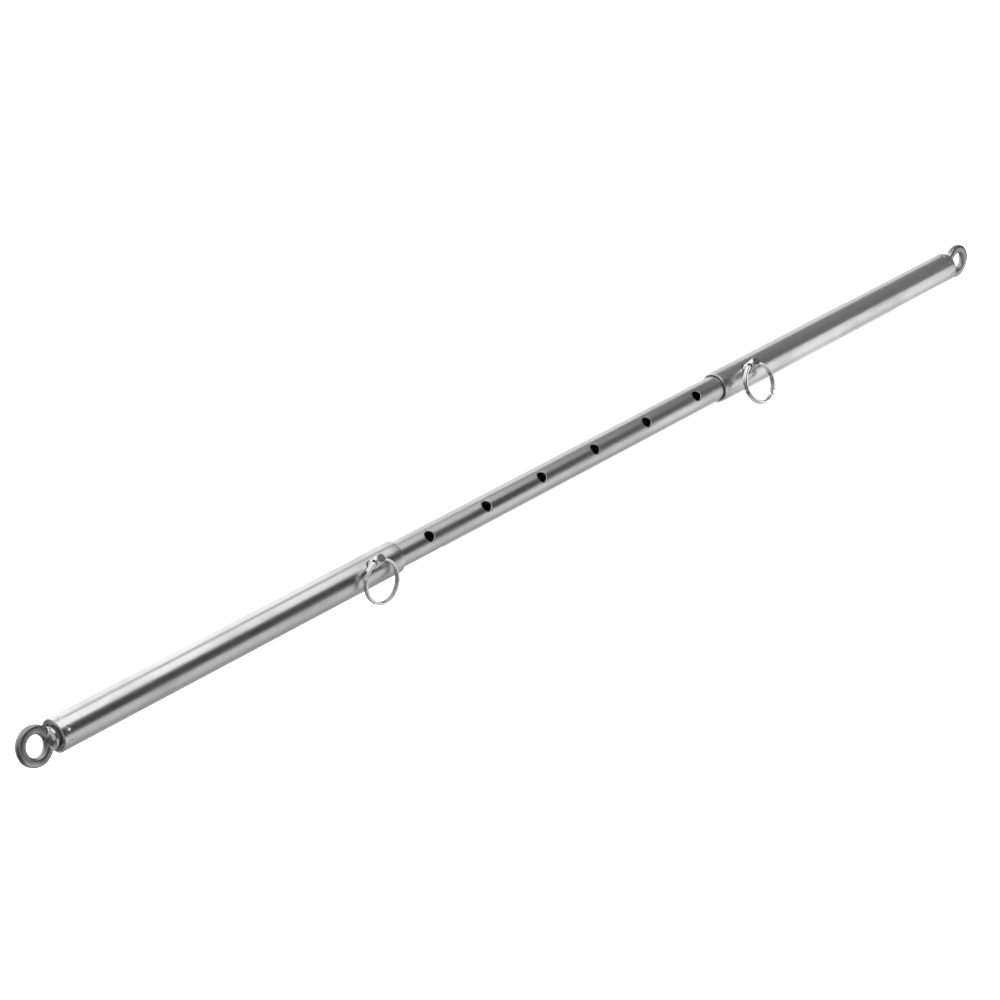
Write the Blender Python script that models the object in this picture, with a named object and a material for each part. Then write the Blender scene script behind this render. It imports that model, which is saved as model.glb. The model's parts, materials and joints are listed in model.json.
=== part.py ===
"""Telescopic spreader beam: an inner tube with a row of holes, two outer tubes that slide on it,
a lock pin with a split ring in each outer tube, and a swivel eye in each end.

The beam lies along X, and its two ends mirror each other except for how the eyes and rings are turned.
Run it with: blender --background --python part.py
"""

from math import cos, pi, radians, sin

import bmesh
import bpy
from mathutils import Matrix, Vector

MM = 0.001

# Driving dimensions, in millimetres and degrees.
HOLE_PITCH = 63.5
HOLE_COUNT = 8
HOLE_DIAMETER = 8.4
INNER_DIAMETER = 21.1
INNER_WALL = 1.4
OUTER_DIAMETER = 25.4
OUTER_WALL = 1.45
OUTER_LENGTH = 330.2
CLOSED_GAP = 1.0  # between the two outer tubes when both are pushed fully in
TUBE_EDGE = 0.5  # rounding of the tubes' rims
FIT_GAP = 0.35  # clearance between neighbouring pieces

PIN_ANGLE = 43.0  # from +Z towards -Y
PIN_DIAMETER = 7.6
PIN_STANDS_OUT = 14.5  # the pin's outer end above the outer tube
PIN_CHAMFER = 0.6
CROSS_HOLE_DIAMETER = 5.2
CROSS_HOLE_DEPTH = 6.0  # below the pin's outer end

RING_DIAMETER = 35.5
WIRE_RADIAL = 2.4
WIRE_AXIAL = 1.75
WIRE_CORNER = 0.55
COIL_PITCH = 1.9  # between the ring's two turns
CROSSOVER = 6.0  # half the arc over which the wire changes from one turn to the next
CROSSOVER_GAP = 2.5  # from there to the wire's ends
CROSSOVER_AT = {"left": -128.0, "right": 38.0}  # from the ring's lowest point towards +X
RING_YAW = 2.0  # of the pin about its own axis
RING_SWING = {"left": 12.0, "right": 28.0}  # outwards from hanging straight down

EYE_OUTER = 30.0
EYE_HOLE = 16.0
EYE_THICKNESS = 6.8
EYE_CORNER = 2.6
EYE_REACH = 16.8  # from the tube's end to the eye's centre
EYE_TURN = {"left": 19.0, "right": 4.0}  # of the eye's side face above horizontal
SHOULDER_DIAMETER = 16.5
SHANK_DIAMETER = 8.0
SHANK_PAST_NUT = 2.0

PLUG_LENGTH = 20.0
PLUG_RECESS = 0.3  # of the plug's outer face inside the tube's rim
PLUG_CHAMFER = 0.4
PLUG_GROOVE_DEPTH = 1.0
COUNTERBORE_DIAMETER = 19.0  # in the plug's outer face, round the eye's shoulder
COUNTERBORE_DEPTH = 2.5
WASHER_THICKNESS = 1.2
SHOULDER_WASHER_DIAMETER = 18.0
NUT_WASHER_DIAMETER = 16.0
NUT_ACROSS_FLATS = 13.0
NUT_HEIGHT = 6.5
NUT_CHAMFER = 0.9
DIMPLE_COUNT = 8
DIMPLE_ANGLE = 50.0  # of the first dimple, from +Z towards -Y
DIMPLE_DIAMETER = 3.6
DIMPLE_DEPTH = 0.8
DIMPLE_FROM_END = 5.6

TUBE_SEGMENTS = 48
SMALL_SEGMENTS = 32
HOLE_SEGMENTS = 20
RING_SEGMENTS = 30  # per turn of the split ring

# Places that follow from them.
pin_x = (HOLE_COUNT - 1) / 2 * HOLE_PITCH
mouth_x = (HOLE_COUNT - 2) / 2 * HOLE_PITCH + CLOSED_GAP / 2
end_x = mouth_x + OUTER_LENGTH
inner_half = pin_x + HOLE_PITCH / 2
outer_bore = OUTER_DIAMETER / 2 - OUTER_WALL
shank_bore = SHANK_DIAMETER / 2 + FIT_GAP
plug_face_x = end_x - PLUG_RECESS
washer_depth = COUNTERBORE_DEPTH - FIT_GAP - WASHER_THICKNESS
shoulder_depth = washer_depth - FIT_GAP
nut_depth = PLUG_LENGTH + 2 * FIT_GAP + WASHER_THICKNESS
pin_end = OUTER_DIAMETER / 2 + PIN_STANDS_OUT
pin_nose = INNER_DIAMETER / 2 + FIT_GAP
cross_hole_at = pin_end - CROSS_HOLE_DEPTH
eye_x = end_x + EYE_REACH
pin_out = Vector((0, -sin(radians(PIN_ANGLE)), cos(radians(PIN_ANGLE))))
SIGNS = {"left": -1, "right": 1}


def clear_scene():
    for item in list(bpy.data.objects):
        bpy.data.objects.remove(item, do_unlink=True)


def make_material(name, color, roughness, metallic=1.0):
    material = bpy.data.materials.new(name)
    material.use_nodes = True
    shader = material.node_tree.nodes["Principled BSDF"]
    shader.inputs["Base Color"].default_value = (*color, 1)
    shader.inputs["Roughness"].default_value = roughness
    shader.inputs["Metallic"].default_value = metallic
    return material


def mesh_from(shape, name):
    """Turns a bmesh into a mesh whose faces point out."""
    bmesh.ops.remove_doubles(shape, verts=shape.verts, dist=1e-4)
    bmesh.ops.recalc_face_normals(shape, faces=shape.faces)
    mesh = bpy.data.meshes.new(name)
    shape.to_mesh(mesh)
    shape.free()
    return mesh


def turned(name, profile, segments, closed=False):
    """Turns a profile of (along, radius) points about X. A closed profile makes a hollow ring."""
    shape = bmesh.new()
    points = [shape.verts.new((along, 0, radius)) for along, radius in profile]
    pairs = list(zip(points, points[1:]))
    if closed:
        pairs.append((points[-1], points[0]))
    edges = [shape.edges.new(pair) for pair in pairs]
    bmesh.ops.spin(
        shape,
        geom=points + edges,
        axis=(1, 0, 0),
        cent=(0, 0, 0),
        angle=2 * pi,
        steps=segments,
        use_merge=True,
    )
    return mesh_from(shape, name)


def rod(start, end, radius, segments, direction, origin=(0, 0, 0)):
    """A plain cylinder that runs from start to end along a direction from an origin."""
    mesh = turned("rod", [(start, 0), (start, radius), (end, radius), (end, 0)], segments)
    mesh.transform(direction.to_track_quat("X", "Z").to_matrix().to_4x4())
    mesh.transform(Matrix.Translation(origin))
    return mesh


def joined(name, meshes):
    """One mesh from several meshes, which stay separate bodies."""
    shape = bmesh.new()
    for mesh in meshes:
        shape.from_mesh(mesh)
        bpy.data.meshes.remove(mesh)
    return mesh_from(shape, name)


def add_object(name, mesh, material=None, origin=(0, 0, 0)):
    """Links a mesh, given in millimetres, as an object in metres with its origin at a given point."""
    mesh.transform(Matrix.Scale(MM, 4) @ Matrix.Translation(-Vector(origin)))
    item = bpy.data.objects.new(name, mesh)
    item.location = Vector(origin) * MM
    bpy.context.scene.collection.objects.link(item)
    if material is not None:
        mesh.materials.append(material)
        mesh.shade_smooth()
        mesh.set_sharp_from_angle(angle=radians(35))
    return item


def combine(item, mesh, operation="DIFFERENCE"):
    """Cuts, joins or trims an object with a helper made from the mesh."""
    helper = add_object(f"{item.name}_{mesh.name}", mesh)
    helper.hide_render = True
    helper.display_type = "WIRE"
    modifier = item.modifiers.new(mesh.name, "BOOLEAN")
    modifier.operation = operation
    modifier.solver = "EXACT"
    modifier.object = helper


def tube_profile(start, end, outer, bore):
    """A tube's wall in section, with its four rims rounded."""
    edge, break_edge, corner = TUBE_EDGE, TUBE_EDGE * 0.4, TUBE_EDGE * 0.3
    return [
        (start + edge, outer),
        (end - edge, outer),
        (end - corner, outer - corner),
        (end, outer - edge),
        (end, bore + break_edge),
        (end - break_edge, bore),
        (start + break_edge, bore),
        (start, bore + break_edge),
        (start, outer - edge),
        (start + corner, outer - corner),
    ]


def pin_drills(places):
    """Drills that cut the wall on the pins' side, one at each place along X."""
    reach = OUTER_DIAMETER / 2 + 3
    shape = [rod(reach / 3, reach, HOLE_DIAMETER / 2, HOLE_SEGMENTS, pin_out, (x, 0, 0)) for x in places]
    return joined("drills", shape)


def punch_marks(sign):
    """The balls that press a ring of dimples into the tube to hold its plug."""
    ball = (DIMPLE_DIAMETER**2 / 4 + DIMPLE_DEPTH**2) / (2 * DIMPLE_DEPTH)
    along = Vector((sign * (end_x - DIMPLE_FROM_END), 0, 0))
    marks = []
    for index in range(DIMPLE_COUNT):
        shape = bmesh.new()
        bmesh.ops.create_icosphere(shape, subdivisions=2, radius=ball)
        turn = radians(DIMPLE_ANGLE) + 2 * pi * index / DIMPLE_COUNT
        out = Matrix.Rotation(turn, 3, "X") @ Vector((0, 0, 1))
        place = along + out * (OUTER_DIAMETER / 2 + ball - DIMPLE_DEPTH)
        bmesh.ops.translate(shape, verts=shape.verts, vec=place)
        marks.append(mesh_from(shape, "mark"))
    return joined("dimples", marks)


def build_inner_tube(material):
    radius = INNER_DIAMETER / 2
    profile = tube_profile(-inner_half, inner_half, radius, radius - INNER_WALL)
    tube = add_object("inner_tube", turned("inner_tube", profile, TUBE_SEGMENTS, closed=True), material)
    combine(tube, pin_drills([index * HOLE_PITCH - pin_x for index in range(HOLE_COUNT)]))


def build_outer_tube(side, material):
    sign = SIGNS[side]
    name = f"{side}_outer_tube"
    start, end = sorted((sign * mouth_x, sign * end_x))
    profile = tube_profile(start, end, OUTER_DIAMETER / 2, outer_bore)
    tube = add_object(name, turned(name, profile, TUBE_SEGMENTS, closed=True), material)
    combine(tube, pin_drills([sign * pin_x]))
    combine(tube, punch_marks(sign))


def at_end(profile, side, origin=plug_face_x):
    """Takes a profile whose first values are depths inwards from origin to its own end of the beam."""
    return [(SIGNS[side] * (origin - depth), radius) for depth, radius in profile]


def build_end_plug(side, material):
    """The turned plug inside the tube, counterbored for the shoulder and grooved where the dimples bite."""
    radius = outer_bore - FIT_GAP
    groove = DIMPLE_FROM_END - PLUG_RECESS
    half = DIMPLE_DIAMETER / 2 + 0.4
    profile = [
        (COUNTERBORE_DEPTH, shank_bore),
        (COUNTERBORE_DEPTH, COUNTERBORE_DIAMETER / 2),
        (0, COUNTERBORE_DIAMETER / 2),
        (0, radius - PLUG_CHAMFER),
        (PLUG_CHAMFER, radius),
        (groove - half, radius),
        (groove - half, radius - PLUG_GROOVE_DEPTH),
        (groove + half, radius - PLUG_GROOVE_DEPTH),
        (groove + half, radius),
        (PLUG_LENGTH - PLUG_CHAMFER, radius),
        (PLUG_LENGTH, radius - PLUG_CHAMFER),
        (PLUG_LENGTH, shank_bore),
    ]
    name = f"{side}_end_plug"
    add_object(name, turned(name, at_end(profile, side), SMALL_SEGMENTS, closed=True), material)


def build_washer(side, kind, depth, diameter, material):
    """A washer with its outer edge broken. Depth is from the plug's outer face to the washer's outer face."""
    broken = 0.25
    profile = [
        (depth, shank_bore),
        (depth, diameter / 2 - broken),
        (depth + broken, diameter / 2),
        (depth + WASHER_THICKNESS, diameter / 2),
        (depth + WASHER_THICKNESS, shank_bore),
    ]
    name = f"{side}_{kind}_washer"
    add_object(name, turned(name, at_end(profile, side), SMALL_SEGMENTS, closed=True), material)


def build_lock_nut(side, material):
    """A hexagon nut with chamfered corners, behind the washer inside the tube."""
    start, end = nut_depth, nut_depth + NUT_HEIGHT
    corner = NUT_ACROSS_FLATS / 2 / cos(pi / 6)
    name = f"{side}_lock_nut"
    bar = [(start, 0), (start, corner), (end, corner), (end, 0)]
    nut = add_object(name, turned(name, at_end(bar, side), 6), material)
    trim = [
        (start - 0.5, shank_bore + FIT_GAP),
        (start - 0.5, corner - NUT_CHAMFER - 0.5),
        (start + NUT_CHAMFER, corner + 0.3),
        (end - NUT_CHAMFER, corner + 0.3),
        (end + 0.5, corner - NUT_CHAMFER - 0.5),
        (end + 0.5, shank_bore + FIT_GAP),
    ]
    combine(nut, turned("trim", at_end(trim, side), HOLE_SEGMENTS, closed=True), "INTERSECT")


def rounded_section(half_width, half_height, corner, steps):
    """The points of a rectangle with round corners, anticlockwise."""
    points = []
    for turn, (across, up) in enumerate(((1, 1), (-1, 1), (-1, -1), (1, -1))):
        centre_x, centre_y = across * (half_width - corner), up * (half_height - corner)
        for step in range(steps + 1):
            angle = pi / 2 * (turn + step / steps)
            points.append((centre_x + corner * cos(angle), centre_y + corner * sin(angle)))
    return points


def eye_stem_profile():
    """The flared neck, the shoulder and the shank, as depths inwards from the eye's centre."""
    edge = SHOULDER_DIAMETER / 2
    shoulder = EYE_REACH + PLUG_RECESS + shoulder_depth
    shank = SHANK_DIAMETER / 2
    tip = EYE_REACH + PLUG_RECESS + nut_depth + NUT_HEIGHT + SHANK_PAST_NUT
    neck = [(9.0, 0), (9.0, 3.0), (10.0, 5.2), (11.4, 7.0), (12.8, edge - 0.25)]
    rim = [(14.2, edge), (shoulder - 0.5, edge), (shoulder, edge - 0.5)]
    return neck + rim + [(shoulder, shank), (tip - 1, shank), (tip, shank - 1), (tip, 0)]


def build_eye(side, material):
    """The forged eye: a ring with coined side faces, joined to its neck, shoulder and shank."""
    sign = SIGNS[side]
    middle = (EYE_OUTER + EYE_HOLE) / 4
    section = rounded_section(EYE_THICKNESS / 2, (EYE_OUTER - EYE_HOLE) / 4, EYE_CORNER, 2)
    ring = turned("ring", [(across, middle + up) for across, up in section], 36, closed=True)
    turn = radians(EYE_TURN[side])
    facing = Vector((0, -cos(turn), sin(turn)))
    ring.transform(facing.to_track_quat("X", "Z").to_matrix().to_4x4())
    ring.transform(Matrix.Translation((sign * eye_x, 0, 0)))
    name = f"{side}_eye"
    eye = add_object(name, turned(name, at_end(eye_stem_profile(), side, eye_x), 24), material)
    combine(eye, ring, "UNION")


def pin_axes(side):
    """The split ring's hinge direction through the pin, and the direction in which the ring hangs."""
    hinge = Matrix.Rotation(radians(RING_YAW), 3, pin_out) @ Vector((1, 0, 0))
    down = Vector((0, 0, -1))
    down = (down - down.dot(hinge) * hinge).normalized()
    return hinge, Matrix.Rotation(-radians(RING_SWING[side]), 3, hinge) @ down


def build_lock_pin(side, material):
    """A pin with both ends chamfered and a hole across it for the ring."""
    radius = PIN_DIAMETER / 2
    origin = Vector((SIGNS[side] * pin_x, 0, 0))
    profile = [
        (pin_nose, 0),
        (pin_nose, radius - PIN_CHAMFER),
        (pin_nose + PIN_CHAMFER, radius),
        (pin_end - PIN_CHAMFER, radius),
        (pin_end, radius - PIN_CHAMFER),
        (pin_end, 0),
    ]
    name = f"{side}_lock_pin"
    mesh = turned(name, profile, SMALL_SEGMENTS)
    mesh.transform(pin_out.to_track_quat("X", "Z").to_matrix().to_4x4())
    mesh.transform(Matrix.Translation(origin))
    centre = origin + pin_out * cross_hole_at
    pin = add_object(name, mesh, material, centre)
    hinge, _ = pin_axes(side)
    drill = rod(-PIN_DIAMETER, PIN_DIAMETER, CROSS_HOLE_DIAMETER / 2, HOLE_SEGMENTS, hinge, centre)
    drill.name = "cross_drill"
    combine(pin, drill)


def coil_offset(angle):
    """How far along the ring's axis the wire lies, from one turn at the start to the next turn at the end."""
    from_middle = (angle - 2 * pi) / radians(CROSSOVER)
    part = min(max((from_middle + 1) / 2, 0), 1)
    return COIL_PITCH * (part * part * (3 - 2 * part) - 0.5)


def build_split_ring(side, material):
    """Two turns of wire side by side, with one short change-over between them."""
    hinge, hang = pin_axes(side)
    across = hinge.cross(hang)
    hole = Vector((SIGNS[side] * pin_x, 0, 0)) + pin_out * cross_hole_at
    wire_radius = (RING_DIAMETER - WIRE_RADIAL) / 2
    centre = hole + hang * wire_radius
    section = rounded_section(WIRE_AXIAL / 2, WIRE_RADIAL / 2, WIRE_CORNER, 1)
    bare = radians(CROSSOVER + CROSSOVER_GAP)
    first, last = bare, 4 * pi - bare
    steps = 2 * RING_SEGMENTS
    shape = bmesh.new()
    loops = []
    for step in range(steps + 1):
        angle = first + (last - first) * step / steps
        turn = angle + radians(CROSSOVER_AT[side])
        out = hang * cos(turn) + hinge * sin(turn)
        middle = centre + across * coil_offset(angle)
        loops.append([shape.verts.new(middle + across * a + out * (wire_radius + r)) for a, r in section])
    for here, there in zip(loops, loops[1:]):
        for index in range(len(section)):
            after = (index + 1) % len(section)
            shape.faces.new((here[index], here[after], there[after], there[index]))
    shape.faces.new(loops[0])
    shape.faces.new(loops[-1])
    name = f"{side}_split_ring"
    return add_object(name, mesh_from(shape, name), material, hole)


def build_end(side, steel, forged, plug, zinc, bright):
    build_outer_tube(side, steel)
    build_end_plug(side, plug)
    build_washer(side, "shoulder", washer_depth, SHOULDER_WASHER_DIAMETER, zinc)
    build_washer(side, "nut", PLUG_LENGTH + FIT_GAP, NUT_WASHER_DIAMETER, zinc)
    build_lock_nut(side, zinc)
    build_eye(side, forged)
    build_lock_pin(side, bright)
    build_split_ring(side, bright)


def main():
    clear_scene()
    steel = make_material("satin_steel", (0.72, 0.72, 0.73), 0.28)
    forged = make_material("forged_steel", (0.42, 0.42, 0.43), 0.42)
    plug = make_material("turned_steel", (0.45, 0.45, 0.46), 0.38)
    zinc = make_material("zinc_plate", (0.60, 0.61, 0.62), 0.35)
    bright = make_material("bright_chrome", (0.80, 0.80, 0.81), 0.08)
    build_inner_tube(steel)
    for side in SIGNS:
        build_end(side, steel, forged, plug, zinc, bright)


main()
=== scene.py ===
import json
import math

import bpy
import numpy as np
from mathutils import Matrix, Vector

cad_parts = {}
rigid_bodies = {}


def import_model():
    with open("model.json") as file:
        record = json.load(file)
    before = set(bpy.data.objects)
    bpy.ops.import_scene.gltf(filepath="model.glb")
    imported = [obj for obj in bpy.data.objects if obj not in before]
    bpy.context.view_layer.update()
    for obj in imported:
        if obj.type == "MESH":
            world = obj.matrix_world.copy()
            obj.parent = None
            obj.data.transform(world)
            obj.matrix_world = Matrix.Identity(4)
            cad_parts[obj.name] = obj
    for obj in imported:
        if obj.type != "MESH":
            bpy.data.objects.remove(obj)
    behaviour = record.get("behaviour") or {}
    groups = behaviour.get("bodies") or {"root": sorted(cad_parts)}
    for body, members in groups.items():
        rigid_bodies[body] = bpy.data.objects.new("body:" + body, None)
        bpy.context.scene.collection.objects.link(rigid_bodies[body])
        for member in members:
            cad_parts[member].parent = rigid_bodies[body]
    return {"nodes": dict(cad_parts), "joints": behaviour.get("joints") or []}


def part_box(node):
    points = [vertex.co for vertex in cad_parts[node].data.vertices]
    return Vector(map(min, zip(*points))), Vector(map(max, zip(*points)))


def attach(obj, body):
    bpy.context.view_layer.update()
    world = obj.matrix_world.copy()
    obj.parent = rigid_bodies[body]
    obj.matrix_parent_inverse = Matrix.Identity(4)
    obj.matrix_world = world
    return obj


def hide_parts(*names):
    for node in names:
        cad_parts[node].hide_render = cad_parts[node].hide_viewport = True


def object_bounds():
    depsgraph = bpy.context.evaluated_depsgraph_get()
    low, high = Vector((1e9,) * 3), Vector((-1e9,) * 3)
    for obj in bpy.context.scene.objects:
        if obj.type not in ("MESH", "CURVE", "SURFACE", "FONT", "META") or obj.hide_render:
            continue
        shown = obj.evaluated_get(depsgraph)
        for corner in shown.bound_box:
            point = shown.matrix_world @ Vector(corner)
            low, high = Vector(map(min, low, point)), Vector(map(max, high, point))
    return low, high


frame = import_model()
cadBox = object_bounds()

# lengths are in millimetres and angles in degrees; the finishes work in metres
mm = 0.001
pi = math.pi
sides = {"left": -1, "right": 1}
joints = {joint["name"]: joint for joint in frame["joints"]}
alongBar = Vector((1, 0, 0))
upward = Vector((0, 0, 1))
pinOut = Vector(joints["left_pin_pull"]["axis"]).normalized()
pinSide = pinOut.cross(alongBar)
print("frame loaded:", len(frame["nodes"]), "nodes")


class Wire:
    # a socket of a finish's nodes, for sums on values
    def __init__(self, finish, socket):
        self.finish = finish
        self.socket = socket

    def join(self, operation, other, swapped=False):
        pair = (other, self) if swapped else (self, other)
        return self.finish.node("Math", {"operation": operation}, {0: pair[0], 1: pair[1]})

    def __add__(self, other):
        return self.join("ADD", other)

    def __sub__(self, other):
        return self.join("SUBTRACT", other)

    def __rsub__(self, other):
        return self.join("SUBTRACT", other, True)

    def __mul__(self, other):
        return self.join("MULTIPLY", other)

    def __truediv__(self, other):
        return self.join("DIVIDE", other)

    def __rtruediv__(self, other):
        return self.join("DIVIDE", other, True)

    def __abs__(self):
        return self.join("ABSOLUTE", 0.0)

    __radd__ = __add__
    __rmul__ = __mul__


class Finish:
    def __init__(self, name):
        self.material = bpy.data.materials.new(name)
        self.material.use_nodes = True
        self.tree = self.material.node_tree
        self.tree.nodes.clear()
        self.place = self.node("TexCoord", output="Object")
        parts = self.node("SeparateXYZ", inputs={0: self.place}).socket.node
        self.x, self.y, self.z = (Wire(self, socket) for socket in parts.outputs)

    def node(self, kind, settings=None, inputs=None, output=0):
        made = self.tree.nodes.new("ShaderNode" + kind)
        for key, value in (settings or {}).items():
            if key == "stops":
                ramp = made.color_ramp.elements
                while len(ramp) < len(value):
                    ramp.new(0.5)
                for stop, (position, tone) in zip(ramp, value):
                    stop.position = position
                    stop.color = (tone, tone, tone, 1)
            else:
                setattr(made, key, value)
        for key, value in (inputs or {}).items():
            if isinstance(value, Wire):
                self.tree.links.new(value.socket, made.inputs[key])
            else:
                made.inputs[key].default_value = value
        return None if output is None else Wire(self, made.outputs[output])

    def noise(self, scale, detail, rough):
        # scale is per metre: one number, or one for each axis
        vector = self.place
        if isinstance(scale, tuple):
            vector = self.node("VectorMath", {"operation": "MULTIPLY"}, {0: vector, 1: scale})
            scale = 1.0
        values = {"Vector": vector, "Scale": scale, "Detail": detail, "Roughness": rough}
        return self.node("TexNoise", inputs=values)

    def step(self, value, low, high, first=0.0, last=1.0):
        values = {"Value": value, "From Min": low, "From Max": high, "To Min": first, "To Max": last}
        return self.node("MapRange", {"interpolation_type": "SMOOTHSTEP"}, values)

    def ramp(self, share, stops):
        return self.node("ValToRGB", {"stops": stops}, {0: share})

    def blend(self, factor, first, second):
        return self.node("Mix", {"data_type": "RGBA"}, {0: factor, 6: first, 7: second}, 2)

    def bump(self, height, strength, depth):
        # depth is in metres
        return self.node("Bump", inputs={"Height": height, "Strength": strength, "Distance": depth})

    def close(self, color, roughness, metallic, normal=None, fixed=None):
        values = {"Base Color": color, "Roughness": roughness, "Metallic": metallic, **(fixed or {})}
        if normal is not None:
            values["Normal"] = normal
        shader = self.node("BsdfPrincipled", inputs=values)
        self.node("OutputMaterial", inputs={"Surface": shader}, output=None)
        return self.material


def grey(value, warm=0.0):
    return (value * (1 + warm), value, value * (1 - warm), 1)


def between(first, last, share):
    return first + (last - first) * share


# in the looks, lengths are in metres, a noise is (scale, detail, roughness),
# and a span is where a mask starts and ends
satinLook = {
    "bright": 0.74, "dull": 0.63, "dullWarmth": 0.006, "smooth": 0.24, "rough": 0.36,
    "ground": ((1100, 45, 45), 3.0, 0.6), "ribs": ((330, 18, 18), 2.0, 0.5),
    "drawn": ((9, 420, 420), 3.0, 0.55), "haze": ((16, 55, 55), 4.0, 0.6),
    "scratches": ((22, 1500, 1500), 1.0, 0.4),
    "hazeSpan": (0.42, 0.68), "ribSpan": (0.3, 0.7), "scratchSpan": (0.66, 0.72),
    "rimSpan": (0.0004, 0.0022), "lipSpan": (0.0003, 0.0018),
    "ribTone": 0.6, "scratchTone": 0.86, "edgeTone": 0.84,
    "ribShare": 0.22, "scratchShare": 0.45, "edgeShare": 0.5,
    "hazeRough": 0.5, "groundRough": 0.5, "drawnRough": 0.05, "edgeRough": 0.06,
    "groundHeight": 0.6, "ribHeight": 0.5, "drawnHeight": 0.3, "scratchHeight": 0.5,
    "strength": 0.22, "depth": 0.00005,
}


def satinSteel(name, mouth, end, slide):
    # drawn tube, ground round and round, with a duller haze in patches
    # mouth and end are the tube's rims, in metres from the middle; slide is how scored it is
    look = satinLook
    finish = Finish(name)
    ground = finish.noise(*look["ground"])
    ribs = finish.noise(*look["ribs"])
    drawn = finish.noise(*look["drawn"])
    haze = finish.step(finish.noise(*look["haze"]), *look["hazeSpan"])
    fromMiddle = abs(finish.x)
    rim = finish.step(abs(fromMiddle - end), *look["rimSpan"], 1.0, 0.0)
    lip = finish.step(abs(fromMiddle - mouth), *look["lipSpan"], 1.0, 0.0)
    edges = finish.node("Math", {"operation": "MAXIMUM"}, {0: rim, 1: lip})
    scored = finish.step(finish.noise(*look["scratches"]), *look["scratchSpan"]) * slide
    tone = finish.blend(haze, grey(look["bright"]), grey(look["dull"], look["dullWarmth"]))
    tone = finish.blend(finish.step(ribs, *look["ribSpan"]) * look["ribShare"], tone, grey(look["ribTone"]))
    tone = finish.blend(scored * look["scratchShare"], tone, grey(look["scratchTone"]))
    tone = finish.blend(edges * look["edgeShare"], tone, grey(look["edgeTone"]))
    patchy = look["hazeRough"] * haze + look["groundRough"] * ground
    roughness = between(look["smooth"], look["rough"], patchy)
    roughness = roughness + look["drawnRough"] * drawn - look["edgeRough"] * edges
    height = look["groundHeight"] * ground + look["ribHeight"] * ribs + look["drawnHeight"] * drawn
    height = height - look["scratchHeight"] * scored
    return finish.close(tone, roughness, 1.0, finish.bump(height, look["strength"], look["depth"]))


forgedLook = {
    "bright": 0.50, "dull": 0.34, "smooth": 0.26, "rough": 0.44,
    "skin": (420, 4.0, 0.6), "lumps": (120, 3.0, 0.5), "cloud": (60, 3.0, 0.6), "pits": (900, 2.0, 0.5),
    "wornSpan": (0.5, 0.66), "cloudSpan": (0.36, 0.66), "pitSpan": (0.62, 0.74),
    "collarSpan": (0.0085, 0.0118),  # from the eye's centre towards the tube
    "wornTone": 0.66, "pitTone": 0.12, "collarTone": 0.74,
    "wornShare": 0.35, "pitShare": 0.5, "collarShare": 0.9,
    "pitRough": 0.1, "wornRough": 0.05, "collarSmoother": 0.35,
    "skinHeight": 0.45, "lumpHeight": 0.8, "pitHeight": 0.5, "collarFlatter": 0.6,
    "strength": 0.35, "depth": 0.0001,
}


def forgedSteel(name):
    # a plated forging: scale-pitted skin under a dull coat, rubbed bright where it bears, its collar turned
    look = forgedLook
    finish = Finish(name)
    skin = finish.noise(*look["skin"])
    lumps = finish.noise(*look["lumps"])
    cloud = finish.step(finish.noise(*look["cloud"]), *look["cloudSpan"])
    pits = finish.step(finish.noise(*look["pits"]), *look["pitSpan"])
    worn = finish.step(lumps, *look["wornSpan"])
    inwards = joints["right_eye_swivel"]["pos_m"][0] - abs(finish.x)
    collar = finish.step(inwards, *look["collarSpan"])
    tone = finish.blend(cloud, grey(look["dull"]), grey(look["bright"]))
    tone = finish.blend(worn * look["wornShare"], tone, grey(look["wornTone"]))
    tone = finish.blend(pits * look["pitShare"], tone, grey(look["pitTone"]))
    tone = finish.blend(collar * look["collarShare"], tone, grey(look["collarTone"]))
    roughness = between(look["smooth"], look["rough"], skin)
    roughness = roughness + look["pitRough"] * pits - look["wornRough"] * worn
    roughness = roughness * (1.0 - look["collarSmoother"] * collar)
    height = look["skinHeight"] * skin + look["lumpHeight"] * lumps - look["pitHeight"] * pits
    height = height * (1.0 - look["collarFlatter"] * collar)
    return finish.close(tone, roughness, 1.0, finish.bump(height, look["strength"], look["depth"]))


chromeLook = {
    "bright": 0.80, "dull": 0.66, "smooth": 0.05, "rough": 0.15,
    "hair": ((1800, 260, 260), 2.0, 0.5), "cross": ((200, 1500, 900), 2.0, 0.5),
    "rub": (170, 3.0, 0.6), "waves": (260, 2.0, 0.5), "sawn": (1900, 2.0, 0.5),
    "hairSpan": (0.63, 0.7), "crossSpan": (0.66, 0.72), "rubSpan": (0.48, 0.7),
    "faceSpan": (-0.0005, -0.0001), "faceTone": 0.42, "faceRough": 0.36, "lineRough": 0.06,
    "waveHeight": 0.4, "lineHeight": 0.25, "sawnHeight": 0.5, "strength": 0.12, "depth": 0.00006,
}


def brightChrome(name):
    # hard plating with hairline scratches and a few dull rubs; the pins' sawn ends are duller
    look = chromeLook
    finish = Finish(name)
    hair = finish.step(finish.noise(*look["hair"]), *look["hairSpan"])
    cross = finish.step(finish.noise(*look["cross"]), *look["crossSpan"])
    lines = hair + cross
    rub = finish.step(finish.noise(*look["rub"]), *look["rubSpan"])
    pinEnd = reach("left_lock_pin", pinOut)[1] * mm
    fromEnd = finish.y * pinOut.y + finish.z * pinOut.z - pinEnd
    face = finish.step(fromEnd, *look["faceSpan"])
    tone = finish.blend(rub, grey(look["bright"]), grey(look["dull"]))
    tone = finish.blend(face, tone, grey(look["faceTone"]))
    roughness = between(look["smooth"], look["rough"], rub) + look["lineRough"] * lines
    roughness = roughness + (look["faceRough"] - look["smooth"]) * face
    height = look["waveHeight"] * finish.noise(*look["waves"]) - look["lineHeight"] * lines
    height = height + look["sawnHeight"] * face * finish.noise(*look["sawn"])
    return finish.close(tone, roughness, 1.0, finish.bump(height, look["strength"], look["depth"]))


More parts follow.
